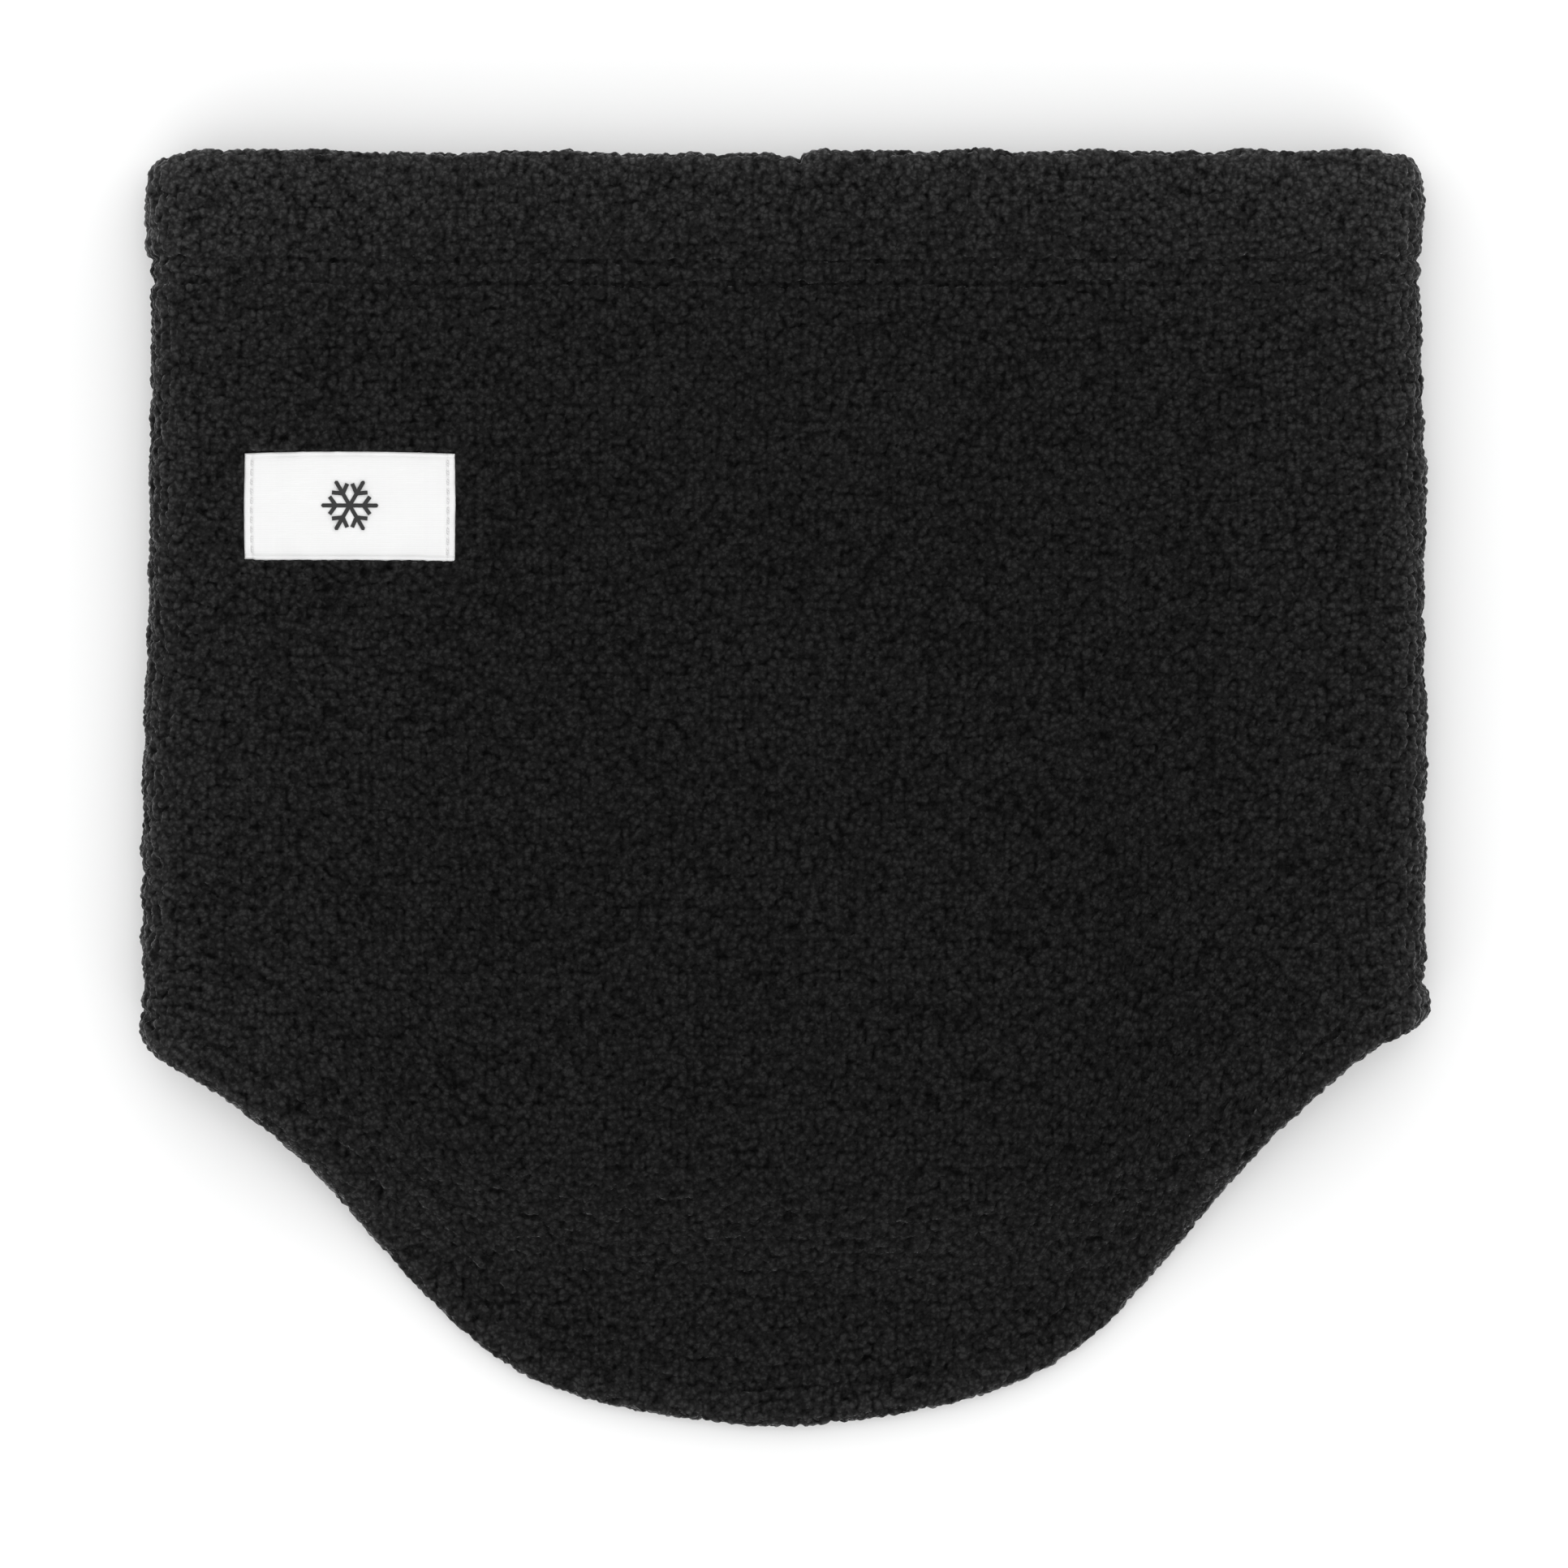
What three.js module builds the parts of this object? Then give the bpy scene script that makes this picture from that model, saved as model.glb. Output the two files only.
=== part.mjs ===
// A pull-on neck gaiter of curly pile fleece, lying flat on its back. It is a sewn cloth tube, turned in and
// cover-stitched at both ends, with a long rounded bib at the front and a woven label on the left.
// +X is across the gaiter, +Y towards the top hem and +Z up through the front, in millimetres.
// The origin is under the middle of the outline, on the surface that the back lies on.
import * as THREE from "three";

const { lerp, smoothstep } = THREE.MathUtils;

// Outline, seen from above
const TOP_EDGE = 134; // folded top edge
const BIB_END = -134; // lowest point of the bib
const TOP_HALF_WIDTH = 133.4; // from the middle to a side fold, at the top hem
const BOTTOM_HALF_WIDTH = 135; // and at the bottom corners
const CORNER_LEVEL = -56; // where the side folds end
const BIB_SHOULDER_X = 93.2; // where the bib's edge is steepest
const BIB_SHOULDER_RISE = 77.2; // how far the edge climbs over the shoulder
const BIB_SHOULDER_POWER = 4.8; // how sudden the shoulder is
const BIB_SIDE_SLOPE = 0.118; // rise along the rest of the edge
const BIB_TIP_BLEND = 10; // keeps the tip round
const BACK_END = -72; // the back's lower edge, at the middle
const BACK_EDGE_RISE = 18; // and how far it climbs to the side folds
const CORNER_LIFT = 3; // rounds each bottom corner
const TOP_CORNER_DROP = 3; // rounds each top corner
const TOP_CORNER_FADE = 18; // over this distance below the edge

// Layers
const THICKNESS = 18; // both layers and the passage between them, at the side folds and hems
const PLY = 3.2; // one ply of fleece
const TURNED_PLY = 2; // a ply pressed flat inside a hem
const GAP = 0.3; // clearance between neighbouring solids
const ROLL = THICKNESS / 2; // radius of a side fold
const SAG = 2; // how far the front sinks in the middle
const SAG_SIDE_BLEND = 45; // over this distance from a side fold
const SAG_END_BLEND = 30; // and from the hems
const BIB_HEIGHT = 6.8; // top of the bib where it lies on the surface
const BIB_LIP = 6; // the front runs level this far past the back's edge
const BIB_DROP_LENGTH = 35; // and comes down over this length

// Hems and stitching
const TOP_ROWS = [22.9, 27.5]; // needle rows, from the top edge
const BOTTOM_ROWS = [8, 12.6]; // needle rows, from the lower edge
const LOOPER_MARGIN = 1; // how far the looper thread spreads past the needle rows
const TOP_TURNING = TOP_ROWS[1] + LOOPER_MARGIN; // depth of the turned-in cloth
const BOTTOM_TURNING = BOTTOM_ROWS[1] + LOOPER_MARGIN;
const EDGE_ROUND = 2.2; // length over which a folded edge is rounded off
const EDGE_BEVEL = 0.5; // the rounding's middle point, from the edge
const EDGE_SINK = 0.6; // and below the cloth's face
const GROOVE_DEPTH = 1.4; // how far a needle row pulls the pile in
const GROOVE_FLOOR = 0.8; // half its width at the bottom
const GROOVE_MOUTH = 1.5; // half its width at the surface
const THREAD = 0.6; // needle thread, thickness
const LOOPER = 0.4; // looper thread, thickness
const MIDDLE_TOP = 36; // the plain stretch starts this far below the top edge
const MIDDLE_BOTTOM = 16; // and ends this far above the lower edge

// Centre seam, inside the front
const SEAM_LEFT = 1.5;
const SEAM_WIDTH = 6;
const SEAM_THICKNESS = 1.6;
const OVERLOCK_WIDTH = 0.6;

// Woven label
const LABEL_CENTRE = [-91.4, 59];
const LABEL_WIDTH = 44;
const LABEL_HEIGHT = 22.5;
const LABEL_PLY = 0.45;
const LABEL_FOLD = 6; // length turned under at each short end
const LABEL_CLEARANCE = 0.45; // between the label and the crown of the pile
const LABEL_STEP = 4;
const LABEL_TOP = 2 * LABEL_PLY + GAP;
const STITCH_INSET = 2; // label stitching, from a short end
const STITCH_SIZE = [0.5, 20, 0.3];
const MOTIF_RADIUS = 6;
const MOTIF_ARM = 0.45; // half the width of a snowflake arm
const MOTIF_THICKNESS = 0.25;

// Mesh density
const FLAT_STEPS = 20; // across the front, and across the back
const ROLL_STEPS = 6; // round a side fold
const MIDDLE_STEPS = 8; // along the plain stretch
const STITCH_STEPS = 4;
const TIE = 1e-3; // diagonals closer in length than this count as equal

// ---------------------------------------------------------------- the gaiter's surface

function halfWidth(y) {
  return lerp(TOP_HALF_WIDTH, BOTTOM_HALF_WIDTH, smoothstep(-y, -TOP_EDGE, -CORNER_LEVEL));
}

function bibEdge(x) {
  const shoulder = Math.pow(Math.abs(x) / BIB_SHOULDER_X, BIB_SHOULDER_POWER);
  const side = Math.hypot(x, BIB_TIP_BLEND) - BIB_TIP_BLEND;
  return BIB_END + (BIB_SHOULDER_RISE * shoulder) / (1 + shoulder) + BIB_SIDE_SLOPE * side;
}

function backEdge(x) {
  const reach = x / (BOTTOM_HALF_WIDTH - ROLL);
  return BACK_END + BACK_EDGE_RISE * reach * reach;
}

// Height of the front's pile above the surface below the gaiter.
function frontHeight(x, y) {
  const fromFold = smoothstep(halfWidth(y) - ROLL - Math.abs(x), 0, SAG_SIDE_BLEND);
  const fromTop = smoothstep(TOP_EDGE - TOP_TURNING - y, 0, SAG_END_BLEND);
  const fromBack = smoothstep(y - backEdge(x), 0, SAG_END_BLEND);
  const drop = smoothstep(backEdge(x) - BIB_LIP - y, 0, BIB_DROP_LENGTH);
  return THICKNESS - SAG * fromFold * fromTop * fromBack - (THICKNESS - BIB_HEIGHT) * drop;
}

// Places round the flattened tube: along the front, over the right fold, back along the back, over the left.
// across runs from -1 to 1 between the folds; turn is the angle on a fold, up at 90 degrees and down at -90.
function ringStations() {
  const stations = [];
  for (const side of [1, -1]) {
    for (let i = 0; i <= FLAT_STEPS; i++) {
      stations.push({ across: side * ((2 * i) / FLAT_STEPS - 1), turn: (side * Math.PI) / 2 });
    }
    for (let i = 1; i < ROLL_STEPS; i++) {
      stations.push({ across: side, turn: side * Math.PI * (0.5 - i / ROLL_STEPS) });
    }
  }
  return stations;
}

const RING = ringStations();
// Distances from the lower edge that the plies of the bottom hem share.
const BOTTOM_STATIONS = [EDGE_ROUND, BOTTOM_ROWS[0] - LOOPER_MARGIN, BOTTOM_TURNING];

function lowerEdge({ across, turn }) {
  const x = across * (BOTTOM_HALF_WIDTH - ROLL);
  const frontShare = (1 + Math.sin(turn)) / 2;
  return lerp(backEdge(x), bibEdge(x), frontShare) + CORNER_LIFT * Math.cos(turn);
}

// Length along Y of one millimetre measured square to the lower edge.
function edgeStretch({ across, turn }) {
  const x = Math.abs(across) * (BOTTOM_HALF_WIDTH - ROLL);
  const edge = turn > 0 ? bibEdge : backEdge;
  const slope = edge(x + 0.5) - edge(x - 0.5);
  return Math.hypot(1, slope * Math.abs(Math.sin(turn)));
}

// A section point lies a distance from the top edge, from the lower edge, or a share of the way between,
// and at a depth below the outer face.
const fromTop = (distance, depth) => ({ end: "top", distance, depth });
const fromBottom = (distance, depth) => ({ end: "bottom", distance, depth });
const between = (share, depth) => ({ end: "none", share, depth });

function lengthwise(station, point) {
  if (point.end === "top") {
    const fade = Math.max(0, 1 - point.distance / TOP_CORNER_FADE);
    return TOP_EDGE - point.distance - TOP_CORNER_DROP * Math.cos(station.turn) * fade;
  }
  const edge = lowerEdge(station);
  const stretch = edgeStretch(station);
  if (point.end === "bottom") return edge + point.distance * stretch;
  return lerp(edge + MIDDLE_BOTTOM * stretch, TOP_EDGE - MIDDLE_TOP, point.share);
}

function place(station, point) {
  const y = lengthwise(station, point);
  const x = station.across * (halfWidth(y) - ROLL);
  if (Math.abs(station.across) < 1) {
    return new THREE.Vector3(x, y, station.turn > 0 ? frontHeight(x, y) - point.depth : point.depth);
  }
  const radius = ROLL - point.depth;
  const out = Math.sign(station.across) * radius * Math.cos(station.turn);
  return new THREE.Vector3(x + out, y, ROLL + radius * Math.sin(station.turn));
}

// Each quad of a bent grid splits along its shorter diagonal, so that parallel faces split alike.
function shorterDiagonals(geometry) {
  const index = geometry.index;
  const corner = (i) => new THREE.Vector3().fromBufferAttribute(geometry.attributes.position, index.getX(i));
  for (let i = 0; i < index.count; i += 6) {
    const [a, b, c, d] = [i, i + 1, i + 4, i + 2].map((k) => index.getX(k));
    if (corner(i).distanceTo(corner(i + 4)) > corner(i + 1).distanceTo(corner(i + 2)) - TIE) continue;
    [a, b, c, a, c, d].forEach((vertex, k) => index.setX(i + k, vertex));
  }
}

// A ring round the tube: a torus whose section becomes the given outline, listed up the outside and
// down the inside, and whose circle becomes the flattened tube.
function ringGeometry(section) {
  const geometry = new THREE.TorusGeometry(2, 1, section.length, RING.length);
  const position = geometry.attributes.position;
  for (let j = 0; j <= section.length; j++) {
    for (let i = 0; i <= RING.length; i++) {
      const at = place(RING[i % RING.length], section[j % section.length]);
      position.setXYZ(j * (RING.length + 1) + i, at.x, at.y, at.z);
    }
  }
  shorterDiagonals(geometry);
  geometry.computeVertexNormals();
  return geometry;
}

// ---------------------------------------------------------------- materials

const material = (color, roughness) => new THREE.MeshStandardMaterial({ color, roughness, metalness: 0 });
const fleece = () => material(0x1b1b1c, 1);
const blackThread = () => material(0x121213, 0.8);
const whiteWeave = () => material(0xf2f2f0, 0.85);
const whiteThread = () => material(0xe6e6e3, 0.8);
const motifThread = () => material(0x2a2a2b, 0.85);

function namedMesh(name, geometry, finish) {
  const mesh = new THREE.Mesh(geometry, finish);
  mesh.name = name;
  return mesh;
}

// ---------------------------------------------------------------- cloth

function grooves(rows, end, upwards) {
  const points = [];
  const outwards = [
    [-GROOVE_MOUTH, 0],
    [-GROOVE_FLOOR, GROOVE_DEPTH],
    [GROOVE_FLOOR, GROOVE_DEPTH],
    [GROOVE_MOUTH, 0],
  ];
  for (const row of rows) {
    for (const [offset, depth] of outwards) points.push(end(row + offset, depth));
  }
  return upwards ? points : points.reverse();
}

function fleeceTube() {
  const shares = Array.from({ length: MIDDLE_STEPS + 1 }, (_, i) => i / MIDDLE_STEPS);
  const section = [
    fromBottom(EDGE_BEVEL, EDGE_SINK),
    fromBottom(EDGE_ROUND, 0),
    ...grooves(BOTTOM_ROWS, fromBottom, true),
    ...shares.map((share) => between(share, 0)),
    ...grooves(TOP_ROWS, fromTop, false),
    fromTop(EDGE_ROUND, 0),
    fromTop(EDGE_BEVEL, EDGE_SINK),
    fromTop(0, PLY / 2),
    fromTop(EDGE_BEVEL, PLY - EDGE_SINK),
    fromTop(EDGE_ROUND, PLY),
    fromTop(TOP_TURNING, PLY),
    ...shares.map((share) => between(share, PLY)).reverse(),
    ...BOTTOM_STATIONS.map((distance) => fromBottom(distance, PLY)).reverse(),
    fromBottom(EDGE_BEVEL, PLY - EDGE_SINK),
    fromBottom(0, PLY / 2),
  ];
  return namedMesh("fleece_tube", ringGeometry(section), fleece());
}

// The turned-in cloth of a hem, flat against the inside of the tube.
function hemTurning(name, end, stations) {
  const outer = stations.map((distance) => end(distance, PLY + GAP));
  const inner = stations.map((distance) => end(distance, PLY + GAP + TURNED_PLY));
  const section = end === fromTop ? [...outer.reverse(), ...inner] : [...outer, ...inner.reverse()];
  return namedMesh(name, ringGeometry(section), fleece());
}

// A thread all round the tube, from one distance to another and between two depths.
function threadRing(name, end, near, far, outerDepth, thickness) {
  const [low, high] = end === fromTop ? [far, near] : [near, far];
  const section = [
    end(low, outerDepth),
    end(high, outerDepth),
    end(high, outerDepth + thickness),
    end(low, outerDepth + thickness),
  ];
  return namedMesh(name, ringGeometry(section), blackThread());
}

function needleThread(name, end, row) {
  const depth = GROOVE_DEPTH - GAP - THREAD;
  return threadRing(name, end, row - THREAD / 2, row + THREAD / 2, depth, THREAD);
}

function looperThread(name, end, rows) {
  const depth = PLY + GAP + TURNED_PLY + GAP;
  return threadRing(name, end, rows[0] - LOOPER_MARGIN, rows[1] + LOOPER_MARGIN, depth, LOOPER);
}

// ---------------------------------------------------------------- centre seam

// A strip down the inside of the front, from the top hem's turning to the bib's.
function seamStrip(name, left, right, depth, thickness, finish) {
  const geometry = new THREE.BoxGeometry(1, 1, 1, 1, MIDDLE_STEPS, 1);
  const position = geometry.attributes.position;
  const middle = { across: 0, turn: Math.PI / 2 };
  for (let i = 0; i < position.count; i++) {
    const x = position.getX(i) < 0 ? left : right;
    const y = lengthwise(middle, between(position.getY(i) + 0.5, 0));
    const below = position.getZ(i) > 0 ? depth : depth + thickness;
    position.setXYZ(i, x, y, frontHeight(0, y) - below);
  }
  geometry.computeVertexNormals();
  return namedMesh(name, geometry, finish);
}

function centreSeam() {
  const seam = new THREE.Group();
  const right = SEAM_LEFT + SEAM_WIDTH;
  const inside = PLY + GAP;
  const bound = right + GAP + OVERLOCK_WIDTH;
  seam.add(seamStrip("centre_seam_allowance", SEAM_LEFT, right, inside, SEAM_THICKNESS, fleece()));
  seam.add(
    seamStrip("centre_seam_overlock_thread", right + GAP, bound, inside, SEAM_THICKNESS, blackThread()),
  );
  return seam;
}

// ---------------------------------------------------------------- label

// Lays a flat piece of the label on the front: its own heights are kept above the curved pile.
function layOnFront(geometry) {
  const position = geometry.attributes.position;
  const [cx, cy] = LABEL_CENTRE;
  for (let i = 0; i < position.count; i++) {
    const rise = frontHeight(cx + position.getX(i), cy + position.getY(i)) - frontHeight(cx, cy);
    position.setZ(i, position.getZ(i) + rise);
  }
  geometry.computeVertexNormals();
  return geometry;
}

// The label from its side: a top ply with both short ends folded under.
function wovenLabel() {
  const end = LABEL_WIDTH / 2;
  const inner = end - LABEL_PLY;
  const outline = new THREE.Shape();
  outline.moveTo(-end, 0);
  outline.lineTo(LABEL_FOLD - end, 0);
  outline.lineTo(LABEL_FOLD - end, LABEL_PLY);
  outline.lineTo(-inner, LABEL_PLY);
  outline.lineTo(-inner, LABEL_PLY + GAP);
  for (let x = LABEL_STEP - end; x < inner; x += LABEL_STEP) outline.lineTo(x, LABEL_PLY + GAP);
  outline.lineTo(inner, LABEL_PLY + GAP);
  outline.lineTo(inner, LABEL_PLY);
  outline.lineTo(end - LABEL_FOLD, LABEL_PLY);
  outline.lineTo(end - LABEL_FOLD, 0);
  outline.lineTo(end, 0);
  for (let x = end; x >= -end; x -= LABEL_STEP) outline.lineTo(x, LABEL_TOP);
  const geometry = new THREE.ExtrudeGeometry(outline, { depth: LABEL_HEIGHT, bevelEnabled: false, steps: 2 });
  geometry.rotateX(Math.PI / 2);
  geometry.translate(0, LABEL_HEIGHT / 2, 0);
  return namedMesh("woven_label", layOnFront(geometry), whiteWeave());
}

// A plain six-armed snowflake, each arm with one pair of twigs.
function labelMotif() {
  const arm = [
    [1.2, -MOTIF_ARM],
    [3.2, -MOTIF_ARM],
    [4.4, -1.9],
    [5.1, -1.3],
    [4.3, -MOTIF_ARM],
    [MOTIF_RADIUS, -MOTIF_ARM],
  ];
  const mirrored = arm.map(([x, y]) => [x, -y]).reverse();
  const points = [];
  for (let i = 0; i < 6; i++) {
    for (const [x, y] of [...arm, ...mirrored]) {
      points.push(new THREE.Vector2(x, y).rotateAround(new THREE.Vector2(), (i * Math.PI) / 3));
    }
  }
  const options = { depth: MOTIF_THICKNESS, bevelEnabled: false };
  const geometry = new THREE.ExtrudeGeometry(new THREE.Shape(points), options);
  geometry.translate(0, 0, LABEL_TOP + GAP);
  return namedMesh("label_motif", layOnFront(geometry), motifThread());
}

function labelStitch(name, x) {
  const geometry = new THREE.BoxGeometry(...STITCH_SIZE, 1, STITCH_STEPS, 1);
  geometry.translate(x, 0, LABEL_TOP + GAP + STITCH_SIZE[2] / 2);
  return namedMesh(name, layOnFront(geometry), whiteThread());
}

function label() {
  const [x, y] = LABEL_CENTRE;
  const stitchX = LABEL_WIDTH / 2 - STITCH_INSET;
  const group = new THREE.Group();
  group.add(wovenLabel(), labelMotif());
  group.add(labelStitch("label_stitch_left", -stitchX), labelStitch("label_stitch_right", stitchX));
  group.position.set(x, y, frontHeight(x, y) + LABEL_CLEARANCE);
  return group;
}

// ---------------------------------------------------------------- the whole gaiter

const gaiter = new THREE.Group();
gaiter.add(fleeceTube());
gaiter.add(hemTurning("top_hem_turning", fromTop, [EDGE_ROUND, TOP_TURNING]));
gaiter.add(hemTurning("bottom_hem_turning", fromBottom, BOTTOM_STATIONS));
gaiter.add(needleThread("top_hem_needle_thread_upper", fromTop, TOP_ROWS[0]));
gaiter.add(needleThread("top_hem_needle_thread_lower", fromTop, TOP_ROWS[1]));
gaiter.add(looperThread("top_hem_looper_thread", fromTop, TOP_ROWS));
gaiter.add(needleThread("bottom_hem_needle_thread_outer", fromBottom, BOTTOM_ROWS[0]));
gaiter.add(needleThread("bottom_hem_needle_thread_inner", fromBottom, BOTTOM_ROWS[1]));
gaiter.add(looperThread("bottom_hem_looper_thread", fromBottom, BOTTOM_ROWS));
gaiter.add(centreSeam());
gaiter.add(label());

export default gaiter;
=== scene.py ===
"""Looks for a neck gaiter of curly pile fleece that lies flat on a pale floor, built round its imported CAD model.

Shapes are worked out in millimetres, in the frame of the CAD model, and turned into metres as each mesh is made.
"""
import itertools
import math

import bpy
import numpy as np
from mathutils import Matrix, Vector


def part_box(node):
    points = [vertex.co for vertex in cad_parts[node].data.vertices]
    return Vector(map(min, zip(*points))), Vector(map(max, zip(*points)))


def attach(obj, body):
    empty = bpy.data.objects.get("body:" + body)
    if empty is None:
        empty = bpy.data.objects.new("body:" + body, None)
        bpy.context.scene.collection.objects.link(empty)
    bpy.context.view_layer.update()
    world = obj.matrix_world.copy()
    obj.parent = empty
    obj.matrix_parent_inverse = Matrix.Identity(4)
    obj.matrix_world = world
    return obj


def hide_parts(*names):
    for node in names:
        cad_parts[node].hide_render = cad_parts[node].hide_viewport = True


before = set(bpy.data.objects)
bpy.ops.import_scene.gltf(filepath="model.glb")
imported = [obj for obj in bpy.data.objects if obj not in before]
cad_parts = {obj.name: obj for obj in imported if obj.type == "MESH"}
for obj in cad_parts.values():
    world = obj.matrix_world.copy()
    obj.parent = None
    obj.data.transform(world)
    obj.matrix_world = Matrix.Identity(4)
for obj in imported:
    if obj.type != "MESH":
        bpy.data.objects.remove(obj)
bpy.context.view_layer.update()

MM = 0.001


def box_mm(node):
    """Lowest and highest corner of a CAD node, in millimetres."""
    low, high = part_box(node)
    return np.array(low) / MM, np.array(high) / MM


# ------------------------------------------------------------ sizes, from the frame where it holds them

tube_low, tube_high = box_mm("fleece_tube")
HALF_WIDTH = tube_high[0]
TOP_EDGE = tube_high[1]
BIB_END = tube_low[1]
THICKNESS = tube_high[2]
ROLL = THICKNESS / 2  # radius of a side fold


def row_level(node):
    """How far a needle row lies from the edge that its hem follows."""
    low, high = box_mm(node)
    if node.startswith("top"):
        return TOP_EDGE - (low[1] + high[1]) / 2
    return low[1] - BIB_END + THREAD_RADIUS


THREAD_RADIUS = 0.22
TOP_ROWS = [row_level("top_hem_needle_thread_upper"), row_level("top_hem_needle_thread_lower")]
BOTTOM_ROWS = [row_level("bottom_hem_needle_thread_outer"), row_level("bottom_hem_needle_thread_inner")]
TOP_TURNING = TOP_ROWS[1] + 1
BOTTOM_TURNING = BOTTOM_ROWS[1] + 1

TOP_NARROWING = 1.6  # how much nearer the middle a side fold is at the top than at the bottom
PLY = 3.2  # one ply of fleece
HEM = 5.2  # the two plies of a hem
BACK_END = -72.0  # lower edge of the back, at the middle
BACK_EDGE_RISE = 18.0
BIB_SHOULDER_X = 93.2
BIB_SHOULDER_RISE = 77.2
BIB_SHOULDER_POWER = 4.8
BIB_SIDE_SLOPE = 0.118
BIB_TIP_BLEND = 10.0
BIB_MIDDLE_X = -1.6
CORNER_LIFT = 3.0
RIGHT_CORNER_RISE = 3.0  # the lower edge lies unevenly: up at the right corner, down at the left one
LEFT_CORNER_FALL = 1.1
TIP_FULLNESS = 0.9  # the bib's rounded end, over its middle
TIP_FULL_SPREAD = 32.0
RIGHT_FULLNESS = 1.7  # and a little fuller over the bib's right shoulder
RIGHT_FULL_X = 70.0
TOP_CORNER_DROP = 1.8
TOP_CORNER_FADE = 18.0
TOP_MIDDLE_DIP = 1.0  # the top edge lies this much lower in the middle than near its ends
LEAN = 0.7  # sideways lie of the upper half
LEAN_LEVEL = 62.0
LEAN_SPREAD = 45.0
BIB_HEIGHT = 5.7
BIB_LIP = 6.0
BIB_DROP_LENGTH = 35.0
GROOVE_WIDTH = 1.0
TOP_GROOVE = 0.85  # how far a needle row pulls the cloth in
BOTTOM_GROOVE = 0.5
FOLD_SLUMP = 1.9  # how much lower the side folds are between the stiffer hems
BODY_SAG = 2.4  # how far the front sinks between the folds
MOUTH_SAG = 2.4  # and at the top hem
SEAM_X = 3.6
MIDDLE_TOP = 36.0
MIDDLE_BOTTOM = 17.0

label_low, label_high = box_mm("woven_label")
LABEL_SHIFT = np.array([0.35, -0.1])  # the soft label lies this far from its CAD place
LABEL_CENTRE = (label_low[:2] + label_high[:2]) / 2 + LABEL_SHIFT
LABEL_HALF = (label_high[:2] - label_low[:2]) / 2
LABEL_THICKNESS = 0.55
LABEL_FOLD = 6.0
LABEL_SINK = 0.7  # how far the label presses the pile in

FINE = 0.55  # mesh spacing on the pile
INSIDE = 2.2
PILE = 1.1  # height of the curls
PILE_INSET = 0.6
PILE_UNEVEN = 0.55  # slow rise and fall of the pile's height, most on the side folds and the top edge
CURL = 1.7  # distance between curls


# ------------------------------------------------------------ noise

def lattice(places, seed):
    """Repeatable numbers from 0 to 1 at whole-number places."""
    x, y, z = np.moveaxis(places, -1, 0)
    n = (x * 73856093) ^ (y * 19349663) ^ (z * 83492791) ^ (seed * 265443576)
    n = (n ^ (n >> 13)) * 1274126177
    n = (n ^ (n >> 16)) * 668265263
    return ((n ^ (n >> 15)) & 0xFFFFFF) / float(0xFFFFFF)


def noise(points, size, seed):
    """Smooth noise from -1 to 1."""
    q = points / size
    base = np.floor(q).astype(np.int64)
    f = q - base
    f = f * f * (3 - 2 * f)
    total = np.zeros(points.shape[:-1])
    for corner in itertools.product((0, 1), repeat=3):
        weight = np.prod(np.where(np.array(corner) == 1, f, 1 - f), axis=-1)
        total += weight * lattice(base + np.array(corner), seed)
    return 2 * total - 1


def warp(points, size, amount, seed):
    moved = [noise(points, size, seed + k) for k in range(3)]
    return points + amount * np.stack(moved, axis=-1)


def nubs(points, size, seed):
    """Rounded bumps round scattered centres: 1 at a centre, 0 in the valleys between."""
    q = points / size
    base = np.floor(q).astype(np.int64)
    nearest = np.full(points.shape[:-1], 9.0)
    for shift in itertools.product((-1, 0, 1), repeat=3):
        cell = base + np.array(shift)
        centre = np.stack([lattice(cell, seed + k) for k in range(3)], axis=-1)
        nearest = np.minimum(nearest, ((q - cell - 0.2 - 0.6 * centre) ** 2).sum(axis=-1))
    return np.clip(1 - nearest / 0.62, 0, 1) ** 0.85


def smoothstep(value, low, high):
    t = np.clip((value - low) / (high - low), 0, 1)
    return t * t * (3 - 2 * t)


def flat_noise(x, y, size, seed):
    return noise(np.stack([x, y, np.zeros_like(x)], axis=-1), size, seed)


# ------------------------------------------------------------ the gaiter's outline and surface

def bib_edge(x):
    x = x - BIB_MIDDLE_X
    shoulder = np.abs(x / BIB_SHOULDER_X) ** BIB_SHOULDER_POWER
    side = np.hypot(x, BIB_TIP_BLEND) - BIB_TIP_BLEND
    return BIB_END + BIB_SHOULDER_RISE * shoulder / (1 + shoulder) + BIB_SIDE_SLOPE * side


def back_edge(x):
    return BACK_END + BACK_EDGE_RISE * (x / (HALF_WIDTH - ROLL)) ** 2


def half_width(y):
    waver = 0.35 * flat_noise(np.zeros_like(y), y, 16.0, 5)
    return HALF_WIDTH - TOP_NARROWING * smoothstep(y, -56, TOP_EDGE) + waver


def seam_line(y):
    return SEAM_X + 0.5 * flat_noise(np.zeros_like(y), y, 22.0, 8)


def fold_height(x, y):
    """Height of the side folds, full at the hems."""
    hems = smoothstep(y, TOP_EDGE - 48, TOP_EDGE - 14) + 1 - smoothstep(y, -52, -22)
    waves = 0.5 + 0.5 * flat_noise(0.2 * x, y, 27.0, 51)
    return THICKNESS - FOLD_SLUMP * (1 - hems) * (0.55 + 0.9 * waves) - 0.5 * waves


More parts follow.
